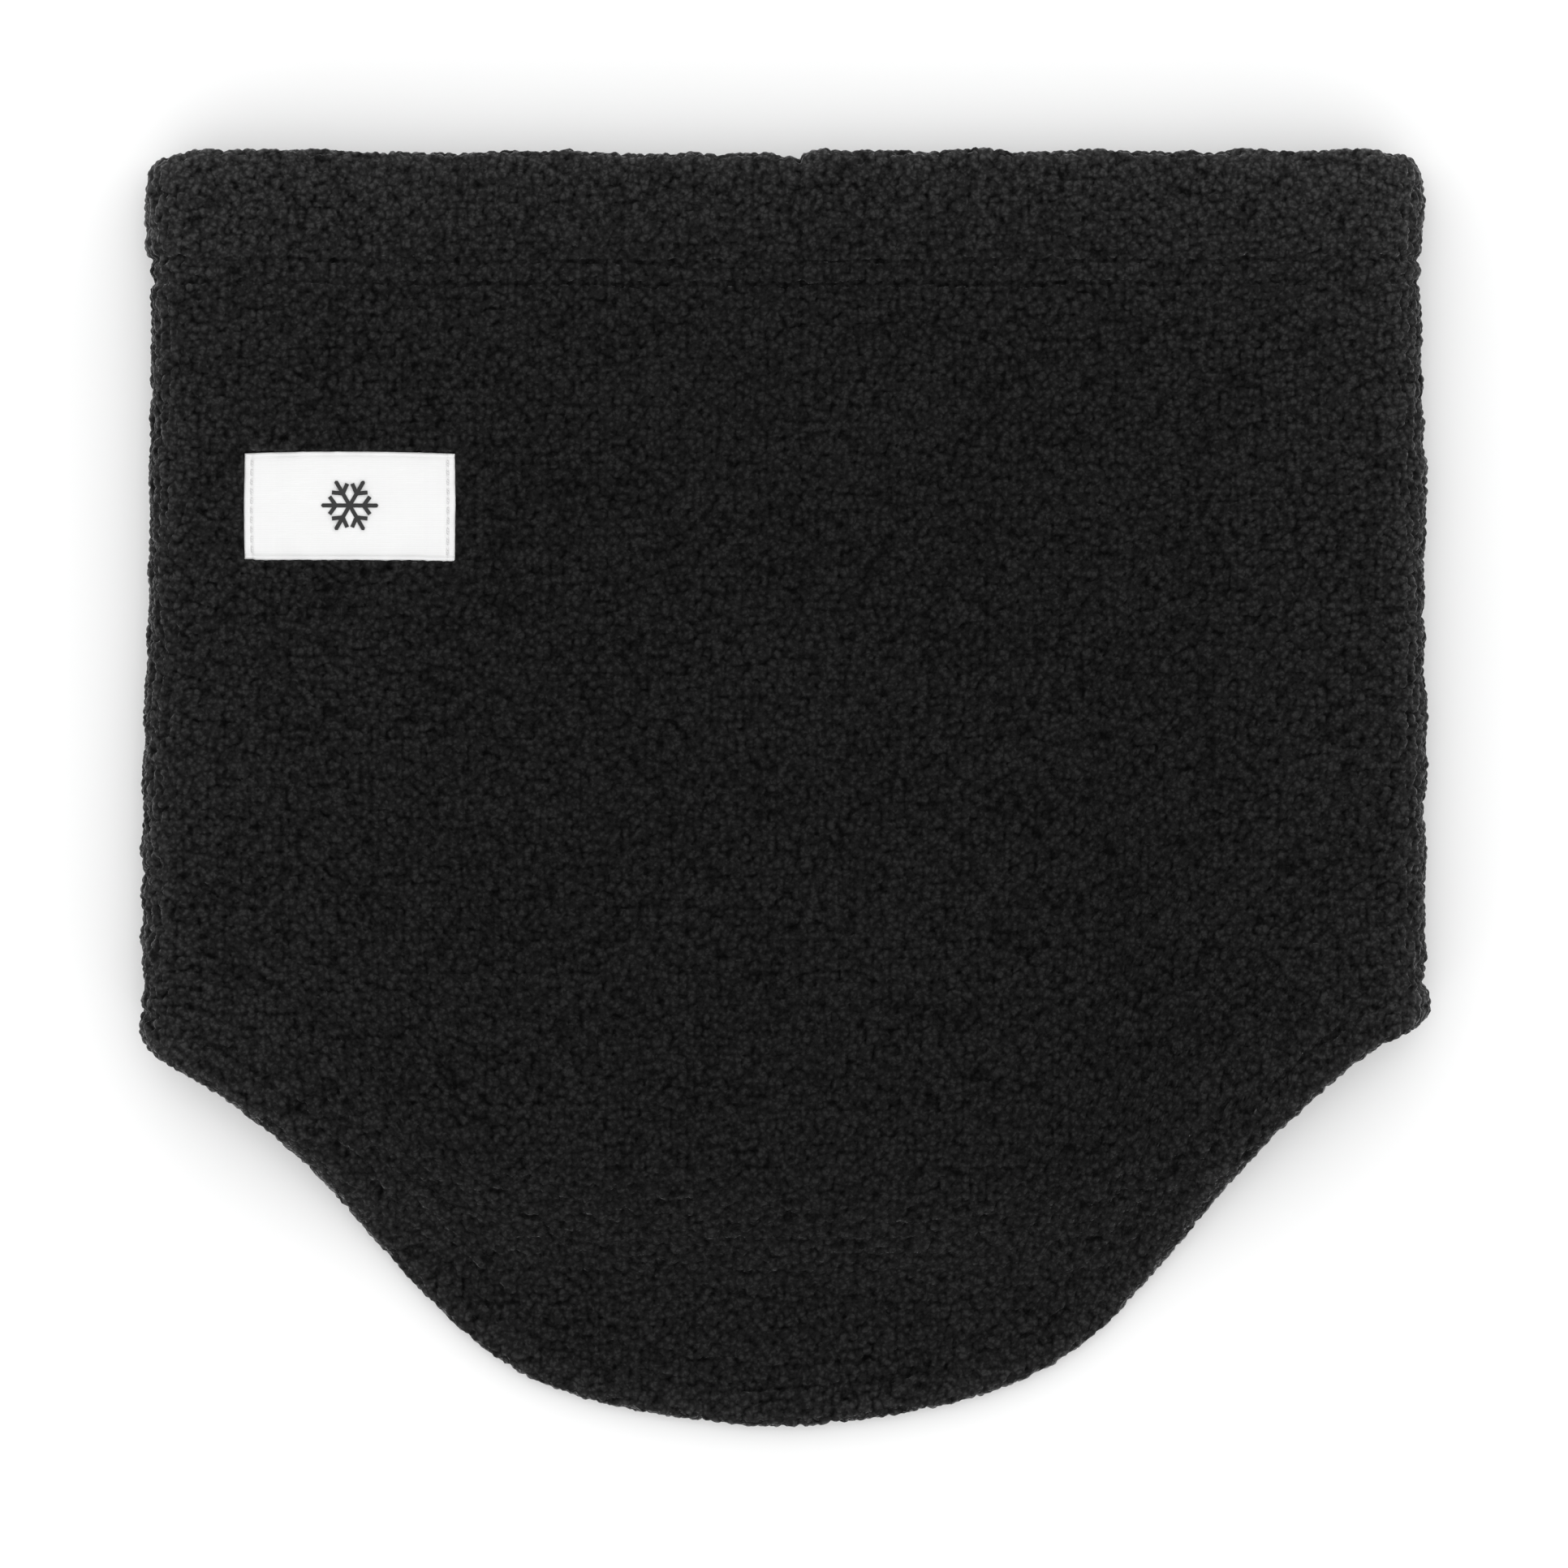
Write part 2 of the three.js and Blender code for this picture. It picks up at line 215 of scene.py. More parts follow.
def front_height(x, y):
    """Height of the front above the floor, without its pile."""
    fold = smoothstep(half_width(y) - ROLL - np.abs(x), 0, 55)
    top = smoothstep(TOP_EDGE - TOP_TURNING + 2 - y, 0, 30)
    back = smoothstep(y - back_edge(x), 0, 30)
    past = back_edge(x) - BIB_LIP - y
    drop = smoothstep(past + 4 * flat_noise(x, y, 60.0, 21), 0, BIB_DROP_LENGTH)
    waves = 0.7 * flat_noise(x, y, 52.0, 31) + 0.3 * flat_noise(x, y, 21.0, 32)
    sag = fold * (MOUTH_SAG * (1 - top) + BODY_SAG * top * back - waves * (0.35 + 0.65 * top * back))
    full = fold_height(x, y)
    return full - sag * (1 - drop) - (full - BIB_HEIGHT) * drop + 0.25 * waves * drop


class Ring:
    """Places round the flattened tube: the front left to right, the right fold, the back, the left fold."""

    def __init__(self, front_steps, roll_steps, back_steps):
        across, turn = [], []
        for side, steps in ((1, front_steps), (-1, back_steps)):
            across.append(side * np.linspace(-1, 1, steps + 1))
            turn.append(np.full(steps + 1, side * math.pi / 2))
            angles = side * math.pi * (0.5 - np.arange(1, roll_steps) / roll_steps)
            across.append(np.full(roll_steps - 1, float(side)))
            turn.append(angles)
        self.across = np.concatenate(across)
        self.turn = np.concatenate(turn)
        self.on_roll = np.abs(np.cos(self.turn)) > 1e-6
        self.front = ~self.on_roll & (self.turn > 0)
        self.count = len(self.across)


def lower_edge(ring):
    x = ring.across * (HALF_WIDTH - ROLL)
    front_share = (1 + np.sin(ring.turn)) / 2
    level = back_edge(x) + (bib_edge(x) - back_edge(x)) * front_share
    tilt = np.where(x > 0, RIGHT_CORNER_RISE, -LEFT_CORNER_FALL) * smoothstep(np.abs(x), 92, HALF_WIDTH - 8)
    full = RIGHT_FULLNESS * np.exp(-((x - RIGHT_FULL_X) / 17) ** 2)
    full += TIP_FULLNESS * np.exp(-(x / TIP_FULL_SPREAD) ** 2)
    return level + tilt - full * front_share + CORNER_LIFT * np.cos(ring.turn)


def edge_stretch(ring):
    """Length along Y of one millimetre measured square to the lower edge."""
    x = ring.across * (HALF_WIDTH - ROLL)
    bib_slope = bib_edge(x + 0.5) - bib_edge(x - 0.5)
    back_slope = back_edge(x + 0.5) - back_edge(x - 0.5)
    slope = np.where(ring.turn > 0, bib_slope, back_slope) * np.abs(np.sin(ring.turn))
    return np.hypot(1, slope)


def lengthwise(ring, end, distance):
    """Y of a row: a distance from the top edge or the lower edge, or a share of the way between."""
    if end == "top":
        drop = TOP_CORNER_DROP * np.cos(ring.turn) * max(0.0, 1 - distance / TOP_CORNER_FADE)
        x = ring.across * (HALF_WIDTH - ROLL)
        waver = 0.45 * flat_noise(x, np.zeros_like(x), 24.0, 41) * max(0.0, 1 - distance / 60)
        waver += 0.3 * flat_noise(x, np.zeros_like(x), 7.0, 42) * max(0.0, 1 - distance / 15)
        dip = 1.1 * np.exp(-((x - SEAM_X + 1.5) / 3.4) ** 2) * max(0.0, 1 - distance / 12)
        hollow = TOP_MIDDLE_DIP * (1 - 0.7 * smoothstep(np.abs(x), 85, 120))
        return TOP_EDGE - distance - drop + waver - dip - hollow
    edge, stretch = lower_edge(ring), edge_stretch(ring)
    if end == "bottom":
        return edge + distance * stretch
    low = edge + MIDDLE_BOTTOM * stretch
    return low + (lengthwise(ring, "top", MIDDLE_TOP) - low) * distance


def row_points(ring, end, distance, depth):
    """One row of points round the tube, depth millimetres below its outer face."""
    y = lengthwise(ring, end, distance)
    x = ring.across * (half_width(y) - ROLL)
    radius = ROLL - depth
    out = np.sign(ring.across) * radius * np.cos(ring.turn)
    half = fold_height(x, y) / 2
    z_roll = half + (half - depth) * np.sin(ring.turn)
    z_flat = np.where(ring.front, front_height(x, y) - depth, depth)
    lean = LEAN * np.exp(-((y - LEAN_LEVEL) / LEAN_SPREAD) ** 2)
    return np.stack([lean + np.where(ring.on_roll, x + out, x), y, np.where(ring.on_roll, z_roll, z_flat)], axis=-1)


# ------------------------------------------------------------ section of the cloth, from hem to hem

def in_groove(distance, rows):
    """1 on a needle row, falling to 0 beside it."""
    return sum(np.exp(-((distance - row) / GROOVE_WIDTH) ** 2) for row in rows)


def puff(distance, span, height):
    return height * np.sin(np.clip(distance / span, 0, 1) * math.pi) ** 0.8


def section_rows():
    """(end, distance, depth, pile height, inside) of each row, up the outside and down the inside."""
    rows = []
    half = HEM / 2
    for angle in np.linspace(180, 0, 13)[1:-1]:
        a = math.radians(angle)
        rows.append(("bottom", 2.4 * (1 - math.sin(a)), half * (1 - math.cos(a)), 1.0, 0.0))
    for d in np.arange(2.6, MIDDLE_BOTTOM, FINE * 0.8):
        groove = in_groove(d, BOTTOM_ROWS)
        depth = BOTTOM_GROOVE * groove - puff(d, BOTTOM_ROWS[0], 0.4)
        rows.append(("bottom", d, depth, 1.0, 0.0))
    middle = TOP_EDGE - MIDDLE_TOP - BIB_END - MIDDLE_BOTTOM
    for share in np.linspace(0, 1, int(middle / FINE)):
        rows.append(("between", share, 0.0, 1.0, 0.0))
    for d in np.arange(MIDDLE_TOP, 6.2, -FINE * 0.8)[1:]:
        groove = in_groove(d, TOP_ROWS)
        depth = TOP_GROOVE * groove - puff(d, TOP_ROWS[0], 0.7)
        rows.append(("top", d, depth, 1.0 - 0.15 * groove, 0.0))
    puffed = puff(6.0, TOP_ROWS[0], 0.7)
    for angle in np.linspace(0, 90, 13):
        a = math.radians(angle)
        depth = (half + puffed) * (1 - math.cos(a)) - puffed
        rows.append(("top", 6.0 * (1 - math.sin(a)), depth, 1.0, 0.0))
    for angle in np.linspace(90, 180, 7)[1:]:
        a = math.radians(angle)
        rows.append(("top", 2.4 * (1 - math.sin(a)), half * (1 - math.cos(a)), 0.9, 0.0))
    for d in np.arange(2.4 + INSIDE, TOP_TURNING, INSIDE):
        rows.append(("top", d, HEM, 0.7, 0.0))
    rows.append(("top", TOP_TURNING, HEM - 0.3, 0.4, 0.5))
    rows.append(("top", TOP_TURNING + 0.3, PLY + 0.2, 0.2, 1.0))
    for d in np.linspace(TOP_TURNING + 1.5, MIDDLE_TOP, 4)[:-1]:
        rows.append(("top", d, PLY, 0.3, 1.0))
    for share in np.linspace(1, 0, 60):
        rows.append(("between", share, PLY, 0.3, 1.0))
    rows.append(("bottom", BOTTOM_TURNING + 0.6, PLY, 0.2, 1.0))
    rows.append(("bottom", BOTTOM_TURNING + 0.3, PLY + 0.2, 0.2, 1.0))
    rows.append(("bottom", BOTTOM_TURNING, HEM - 0.3, 0.4, 0.5))
    for d in np.arange(BOTTOM_TURNING - INSIDE, 2.4, -INSIDE):
        rows.append(("bottom", d, HEM, 0.7, 0.0))
    return rows


def grid_normals(points):
    """Normals of a grid that closes on itself both ways."""
    along = np.roll(points, -1, axis=0) - np.roll(points, 1, axis=0)
    around = np.roll(points, -1, axis=1) - np.roll(points, 1, axis=1)
    normal = np.cross(around, along)
    return normal / np.maximum(np.linalg.norm(normal, axis=-1, keepdims=True), 1e-9)


def seam_shape(points, ring, rows):
    """Push of the centre seam on the front: a swelling over the allowance and a groove at the seam."""
    x, y = points[..., 0], points[..., 1]
    off = x - seam_line(y)
    hem = smoothstep(y, TOP_EDGE - TOP_TURNING - 8, TOP_EDGE - TOP_TURNING + 4)
    swelling = (0.35 + 0.5 * hem) * np.exp(-((off - 2.0) / 6.0) ** 2)
    groove = (0.3 + 0.75 * hem) * np.exp(-(off / 0.95) ** 2)
    outer = np.array([row[4] == 0 and row[2] < HEM / 2 for row in rows])
    return (swelling - groove) * ring.front[None, :] * outer[:, None]


def curls(points):
    """Height of the pile, from 0 in the valleys to 1 on the curls."""
    bent = warp(points, 2.2, 0.5, 60)
    small = nubs(bent, CURL, 70)
    clumps = 0.5 + 0.5 * noise(points, 3.6, 80)
    return small * (0.86 + 0.14 * clumps)


def label_press(points):
    """1 under the label, 0 away from it."""
    x, y, z = np.moveaxis(points, -1, 0)
    inset_x = LABEL_HALF[0] + 0.4 - np.abs(x - LABEL_CENTRE[0])
    inset_y = LABEL_HALF[1] + 0.4 - np.abs(y - LABEL_CENTRE[1])
    return smoothstep(np.minimum(inset_x, inset_y), -0.5, 0.7) * (z > ROLL)


def painted_edge_light(points):
    """Painted light: how much lighter the pile is painted than in the middle, as if lit brighter near the edges: most
    at the side folds and the top hem.
    """
    x, y = points[..., 0], points[..., 1]
    side = np.maximum(HALF_WIDTH - np.abs(x), 0)
    top = np.maximum(TOP_EDGE - y, 0)
    bottom = np.maximum(y - bib_edge(x), 0)
    upper = 0.65 + 0.35 * smoothstep(y, -40, 60)
    # painted light: a lighter band over the top hem out to its lower needle row, more so towards the sides
    hem = (0.18 + 0.14 * (x / HALF_WIDTH) ** 2) * (1 - smoothstep(top, TOP_ROWS[1] - 1.5, TOP_ROWS[1] + 2.5))
    # painted highlight: a bright band right along the side folds and the top edge, and a weaker one along the lower
    # edge
    rim = 1.5 * np.exp(-np.minimum(side, top) / 4) + 0.35 * np.exp(-bottom / 4)
    # painted light: lighter still near the top corners
    corner = 0.4 * np.exp(-(side + top) / 30)
    # painted light falling off inward from the sides, the top edge and the lower edge, weaker down the sides towards
    # the bib
    painted_falloff = 0.65 * upper * np.exp(-side / 40) + 0.65 * np.exp(-top / 22) + 0.5 * np.exp(-bottom / 18)
    return painted_falloff + hem + rim + corner


def cloth_grid():
    front_steps = int(2 * (HALF_WIDTH - ROLL) / FINE)
    ring = Ring(front_steps, int(math.pi * ROLL / (FINE * 0.7)), int(front_steps * 0.4))
    rows = section_rows()
    points = np.stack([row_points(ring, end, d, depth) for end, d, depth, _, _ in rows])
    normals = grid_normals(points)
    height = curls(points)
    pile = np.array([row[3] for row in rows])[:, None]
    pressed = label_press(points)
    pile = pile * (1 - 0.85 * pressed)
    outer = np.minimum(HALF_WIDTH - np.abs(points[..., 0]), TOP_EDGE - points[..., 1])
    uneven = PILE_UNEVEN * noise(points, 4.5, 85) * pile * (0.2 + 0.8 * np.exp(-np.maximum(outer, 0) / 8))
    push = PILE * height * pile + uneven - PILE_INSET - LABEL_SINK * pressed + seam_shape(points, ring, rows)
    points = points + normals * push[..., None]
    points[..., 2] = np.maximum(points[..., 2], 0.05)
    inside = np.repeat(np.array([row[4] for row in rows])[:, None], ring.count, axis=1)
    # the curl height also drives the painted shade in the valleys, and the last attribute carries the painted edge
    # light
    return points, [("pile", height), ("inside", inside), ("painted_edge_light", painted_edge_light(points))]


def grid_faces(rows, columns):
    """Quads of a grid that closes on itself both ways."""
    j, i = np.meshgrid(np.arange(rows), np.arange(columns), indexing="ij")
    right, up = (i + 1) % columns, (j + 1) % rows
    return np.stack([j * columns + i, j * columns + right, up * columns + right, up * columns + i], axis=-1).reshape(-1, 4)


def mesh_object(name, vertices, faces, attributes=(), smooth=True):
    mesh = bpy.data.meshes.new(name)
    mesh.from_pydata((np.asarray(vertices) * MM).tolist(), [], [list(map(int, f)) for f in faces])
    for key, values in attributes:
        layer = mesh.attributes.new(key, "FLOAT", "POINT")
        layer.data.foreach_set("value", np.asarray(values, np.float32).ravel())
    mesh.validate()
    mesh.update()
    if smooth:
        mesh.shade_smooth()
    piece = bpy.data.objects.new(name, mesh)
    bpy.context.scene.collection.objects.link(piece)
    return piece


# ------------------------------------------------------------ materials

class Nodes:
    """A short way to build a node material."""

    def __init__(self, name):
        self.material = bpy.data.materials.new(name)
        self.material.use_nodes = True
        self.tree = self.material.node_tree
        self.shader = self.tree.nodes["Principled BSDF"]

    def add(self, kind, inputs=None, **settings):
        node = self.tree.nodes.new(kind)
        for key, value in settings.items():
            setattr(node, key, value)
        for key, value in (inputs or {}).items():
            self.put(value, node.inputs[key])
        return node

    def put(self, value, socket):
        if isinstance(value, bpy.types.NodeSocket):
            self.tree.links.new(value, socket)
        else:
            socket.default_value = value

    def math(self, operation, a, b=0.0, c=0.0):
        node = self.add("ShaderNodeMath", operation=operation)
        for socket, value in zip(node.inputs, (a, b, c)):
            self.put(value, socket)
        return node.outputs[0]

    def ramp(self, value, stops):
        node = self.add("ShaderNodeValToRGB", {"Fac": value})
        elements = node.color_ramp.elements
        while len(elements) < len(stops):
            elements.new(0.5)
        for element, (place, colour) in zip(elements, stops):
            element.position = place
            element.color = (*colour, 1)
        return node.outputs["Color"]

    def mix(self, factor, a, b, blend_type="MIX"):
        node = self.add("ShaderNodeMix", data_type="RGBA", blend_type=blend_type)
        self.put(factor, node.inputs["Factor"])
        self.put(a, node.inputs[6])
        self.put(b, node.inputs[7])
        return node.outputs[2]

    def attribute(self, name):
        return self.add("ShaderNodeAttribute", attribute_name=name).outputs["Fac"]

    def surface(self, **values):
        for key, value in values.items():
            self.put(value, self.shader.inputs[key.replace("_", " ")])


def grey(level):
    return (level, level, level)


def per_mm(nodes, size):
    """Object coordinates scaled so that a texture at scale 1 has features of this size in millimetres."""
    coordinates = nodes.add("ShaderNodeTexCoord").outputs["Object"]
    scale = 1 / (size * MM)
    return nodes.add("ShaderNodeMapping", {"Vector": coordinates, "Scale": (scale,) * 3}).outputs["Vector"]


def fleece_material():
    n = Nodes("curly_pile_fleece")
    place = per_mm(n, 1.0)
    bend = n.add("ShaderNodeTexNoise", {"Vector": place, "Scale": 0.9, "Detail": 1.0}).outputs["Color"]
    bend = n.add("ShaderNodeVectorMath", {0: bend, 1: (0.5, 0.5, 0.5)}, operation="SUBTRACT").outputs[0]
    bend = n.add("ShaderNodeVectorMath", {0: bend, "Scale": 1.6}, operation="SCALE").outputs[0]
    bent = n.add("ShaderNodeVectorMath", {0: place, 1: bend}, operation="ADD").outputs[0]
    loop = n.add("ShaderNodeTexVoronoi", {"Vector": bent, "Scale": 0.8}, feature="F1")
    curl = n.math("MULTIPLY_ADD", loop.outputs["Distance"], -1.2, 1.0)
    fibre = n.add("ShaderNodeTexNoise", {"Vector": place, "Scale": 2.0, "Detail": 2.0, "Roughness": 0.6}).outputs["Fac"]
    fibre = n.math("SUBTRACT", fibre, 0.5)
    height = n.math("MULTIPLY_ADD", fibre, 0.6, curl)
    mottle = n.add("ShaderNodeTexNoise", {"Vector": place, "Scale": 0.05, "Detail": 2.0}).outputs["Fac"]
    # painted shade and highlight: the colour is darker down in the valleys between curls and lighter on the curl tops,
    # taken from the curl height of the mesh and of the bump; the fibre noise and the mottle add random tone
    tone = n.math("MULTIPLY_ADD", fibre, 0.5, n.math("MULTIPLY_ADD", n.attribute("pile"), 0.35, curl))
    tone = n.math("MULTIPLY_ADD", n.math("SUBTRACT", mottle, 0.5), 0.06, tone)
    shade = n.ramp(tone, [(0.1, grey(0.0011)), (0.4, grey(0.0042)), (0.75, grey(0.0084)), (1.0, grey(0.0158))])
    # painted light: the colour is scaled up where the edge-light attribute says the pile would be lit brighter, near
    # the folds, hems and rims
    painted_light_gain = n.math("ADD", n.attribute("painted_edge_light"), 1.03)
    shade = n.add("ShaderNodeVectorMath", {0: shade, "Scale": painted_light_gain}, operation="SCALE").outputs[0]
    knit = n.add("ShaderNodeTexWave", {"Vector": place, "Scale": 0.55, "Distortion": 1.5, "Detail": 2.0}).outputs["Fac"]
    brushed = n.ramp(knit, [(0.0, grey(0.0045)), (1.0, grey(0.0085))])
    bump = n.add("ShaderNodeBump", {"Height": height, "Strength": 0.8, "Distance": 0.35 * MM})
    n.surface(Base_Color=n.mix(n.attribute("inside"), shade, brushed), Normal=bump.outputs["Normal"])
    n.surface(Roughness=0.95, Specular_IOR_Level=0.06, Sheen_Weight=0.42, Sheen_Roughness=0.3)
    n.shader.inputs["Sheen Tint"].default_value = (0.82, 0.82, 0.83, 1)
    return n.material


def thread_material(name, colour, twist_mm=0.45):
    n = Nodes(name)
    place = per_mm(n, twist_mm)
    strand = n.add("ShaderNodeTexWave", {"Vector": place, "Scale": 0.5, "Distortion": 1.2}, bands_direction="DIAGONAL")
    shade = n.ramp(strand.outputs["Fac"], [(0.0, tuple(0.7 * c for c in colour)), (1.0, colour)])
    bump = n.add("ShaderNodeBump", {"Height": strand.outputs["Fac"], "Strength": 0.5, "Distance": 0.08 * MM})
    n.surface(Base_Color=shade, Normal=bump.outputs["Normal"], Roughness=0.85, Specular_IOR_Level=0.08)
    return n.material


def label_material():
    n = Nodes("woven_label_white")
    place = per_mm(n, 1.0)
    weft = n.add("ShaderNodeTexWave", {"Vector": place, "Scale": 1.15, "Distortion": 0.35}, bands_direction="Y")
    warps = n.add("ShaderNodeTexWave", {"Vector": place, "Scale": 1.6, "Distortion": 0.25}, bands_direction="X")
    weave = n.math("MULTIPLY_ADD", weft.outputs["Fac"], 0.65, n.math("MULTIPLY", warps.outputs["Fac"], 0.35))
    cloud = n.add("ShaderNodeTexNoise", {"Vector": place, "Scale": 0.12, "Detail": 2.0}).outputs["Fac"]
    tone = n.math("MULTIPLY_ADD", cloud, 0.25, n.math("MULTIPLY", weave, 0.75))
    colour = n.ramp(tone, [(0.1, grey(0.69)), (0.9, grey(0.78))])
    bump = n.add("ShaderNodeBump", {"Height": weave, "Strength": 0.35, "Distance": 0.1 * MM})
    n.surface(Base_Color=colour, Normal=bump.outputs["Normal"], Roughness=0.7, Specular_IOR_Level=0.25)
    n.surface(Sheen_Weight=0.1, Sheen_Roughness=0.4)
    return n.material


def floor_material():
    n = Nodes("pale_floor")
    place = per_mm(n, 100.0)
    cloud = n.add("ShaderNodeTexNoise", {"Vector": place, "Scale": 0.4, "Detail": 2.0}).outputs["Fac"]
    n.surface(Base_Color=n.ramp(cloud, [(0.3, (0.90, 0.90, 0.90)), (0.7, (0.915, 0.915, 0.915))]))
    n.surface(Roughness=0.9, Specular_IOR_Level=0.05)
    return n.material


FLEECE = fleece_material()
BLACK_THREAD = thread_material("black_sewing_thread", grey(0.006))
WHITE_THREAD = thread_material("white_sewing_thread", (0.72, 0.72, 0.72))
MOTIF_THREAD = thread_material("dark_woven_thread", grey(0.045), 0.3)
LABEL_WEAVE = label_material()


def dress(piece, material, slot, *nodes):
    """Gives a piece its material, lets it stand for CAD nodes and rides it on the body. The slot is not used."""
    piece.data.materials.append(material)
    if nodes:
        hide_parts(*nodes)
    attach(piece, "root")
    return piece


# ------------------------------------------------------------ the cloth

def fleece_cloth():
    points, attributes = cloth_grid()
    rows, columns = points.shape[:2]
    cloth = mesh_object("fleece_cloth", points.reshape(-1, 3), grid_faces(rows, columns), attributes)
    return dress(cloth, FLEECE, "fleece", "fleece_tube", "top_hem_turning", "bottom_hem_turning")


# ------------------------------------------------------------ threads

def tube(path, radius, sides=5):
    """Vertices and faces of a round thread with closed ends, along a list of points."""
    path = np.asarray(path, float)
    direction = np.gradient(path, axis=0)
    direction /= np.maximum(np.linalg.norm(direction, axis=1, keepdims=True), 1e-9)
    up = np.where(np.abs(direction[:, 2:3]) > 0.9, np.array([[1.0, 0, 0]]), np.array([[0, 0, 1.0]]))
    across = np.cross(direction, up)
    across /= np.maximum(np.linalg.norm(across, axis=1, keepdims=True), 1e-9)
    lift = np.cross(across, direction)
    angles = np.linspace(0, 2 * math.pi, sides, endpoint=False)
    circle = np.cos(angles)[None, :, None] * across[:, None] + np.sin(angles)[None, :, None] * lift[:, None]
    radii = np.full(len(path), float(radius))
    radii[[0, -1]] *= 0.35
    vertices = (path[:, None] + circle * radii[:, None, None]).reshape(-1, 3)
    faces = []
    for j in range(len(path) - 1):
        for i in range(sides):
            k = (i + 1) % sides
            faces.append([j * sides + i, (j + 1) * sides + i, (j + 1) * sides + k, j * sides + k])
    faces.append(list(range(sides)))
    last = (len(path) - 1) * sides
    faces.append([last + i for i in reversed(range(sides))])
    return vertices, faces


def joined(name, parts):
    """One object from (vertices, faces) parts."""
    vertices, faces, start = [], [], 0
    for part_vertices, part_faces in parts:
        vertices.append(part_vertices)
        faces += [[start + v for v in face] for face in part_faces]
        start += len(part_vertices)
    return mesh_object(name, np.concatenate(vertices), faces)


def spaced(loop, step):
    """Points at equal steps along a closed loop of points."""
    closed = np.vstack([loop, loop[:1]])
    lengths = np.concatenate([[0], np.cumsum(np.linalg.norm(np.diff(closed, axis=0), axis=1))])
    count = int(lengths[-1] / step)
    at = np.linspace(0, lengths[-1], count, endpoint=False)
    return np.stack([np.interp(at, lengths, closed[:, k]) for k in range(3)], axis=-1)


STITCH = 3.0
STITCH_RING = Ring(120, 14, 120)


def needle_row(name, node, end, row):
    """A row of stitches round the tube, each dipping into the cloth at its ends."""
    crown = spaced(row_points(STITCH_RING, end, row, 1.4), STITCH / 4)
    sunk = spaced(row_points(STITCH_RING, end, row, 2.3), STITCH / 4)
    count = min(len(crown), len(sunk)) // 4
    parts = []
    for k in range(count):
        i = 4 * k
        path = [sunk[i], 0.8 * crown[i] + 0.2 * sunk[i], crown[i + 1], crown[i + 2]]
        path += [0.8 * crown[i + 3] + 0.2 * sunk[i + 3], sunk[i + 3]]
        parts.append(tube(path, THREAD_RADIUS, 5))
    return dress(joined(name, parts), BLACK_THREAD, "black_thread", node)


def looper_row(name, node, end, rows):
    """The zigzag thread that covers a hem's raw edge on the inside."""
    near = spaced(row_points(STITCH_RING, end, rows[0] - 0.6, HEM + 0.15), STITCH / 2)
    far = spaced(row_points(STITCH_RING, end, rows[1] + 0.6, HEM + 0.15), STITCH / 2)
    count = min(len(near), len(far)) // 2
    path = []
    for k in range(count):
        path += [near[2 * k], far[2 * k + 1]]
    return dress(joined(name, [tube(path, 0.16, 4)]), BLACK_THREAD, "black_thread", node)


def seam_allowance():
    """Two raw edges of fleece bound together, lying to the right of the seam inside the front."""
    low, high = box_mm("centre_seam_allowance")
    count = int((high[1] - low[1]) / 1.5)
    y = np.linspace(low[1], high[1], count)
    parts = []
    angles = np.linspace(0, 2 * math.pi, 12, endpoint=False)
    width, thickness = (high[0] - low[0]) / 2, 0.8
    rim = np.sign(np.cos(angles)) * np.abs(np.cos(angles)) ** 0.5 * width
    rise = np.sign(np.sin(angles)) * np.abs(np.sin(angles)) ** 0.6 * thickness
    middle = (low[0] + high[0]) / 2
    x = middle + rim[None, :] + 0.3 * flat_noise(y, y * 0, 3.0, 90)[:, None]
    inner = front_height(x, y[:, None] + x * 0) - PLY - 0.5 - thickness
    bumps = 0.25 * noise(np.stack([x, y[:, None] + x * 0, rise[None, :] + x * 0], axis=-1), 1.4, 91)
    z = inner + rise[None, :] * (1 + bumps)
    vertices = np.stack([x, y[:, None] + x * 0, z], axis=-1).reshape(-1, 3)
    sides = len(angles)
    faces = []
    for j in range(count - 1):
        for i in range(sides):
            k = (i + 1) % sides
            faces.append([j * sides + i, j * sides + k, (j + 1) * sides + k, (j + 1) * sides + i])
    faces.append(list(reversed(range(sides))))
    faces.append([(count - 1) * sides + i for i in range(sides)])
    zeros = np.zeros(len(vertices))
    # the curl height is set to 0.4 all over, which holds the painted valley shade at a middle level
    piece = mesh_object("centre_seam_allowance_cloth", vertices, faces, [("pile", zeros + 0.4)])
    return dress(piece, FLEECE, "fleece", "centre_seam_allowance")


def overlock_thread():
    """Thread that wraps over the allowance's raw edge in a zigzag."""
    low, high = box_mm("centre_seam_overlock_thread")
    y = np.arange(low[1] + 1, high[1] - 1, 1.1)
    x = np.where(np.arange(len(y)) % 2 == 0, low[0] - 2.6, high[0] - 0.1)
    z = front_height(x, y) - PLY - 0.5 - 1.6 - 0.28
    z = np.where(np.arange(len(y)) % 2 == 0, z, z + 0.75)
    path = np.stack([x, y, z], axis=-1)
    piece = joined("overlock_thread_of_seam", [tube(path, 0.14, 4)])
    return dress(piece, BLACK_THREAD, "black_thread", "centre_seam_overlock_thread")


# ------------------------------------------------------------ label

def on_front(x, y, lift):
    """Points of the label's bed in the pressed pile, lift millimetres up."""
    lean = LEAN * np.exp(-((y - LEAN_LEVEL) / LEAN_SPREAD) ** 2)
    return np.stack([x, y, front_height(x - lean, y) + 0.15 * PILE - PILE_INSET - LABEL_SINK + lift], axis=-1)


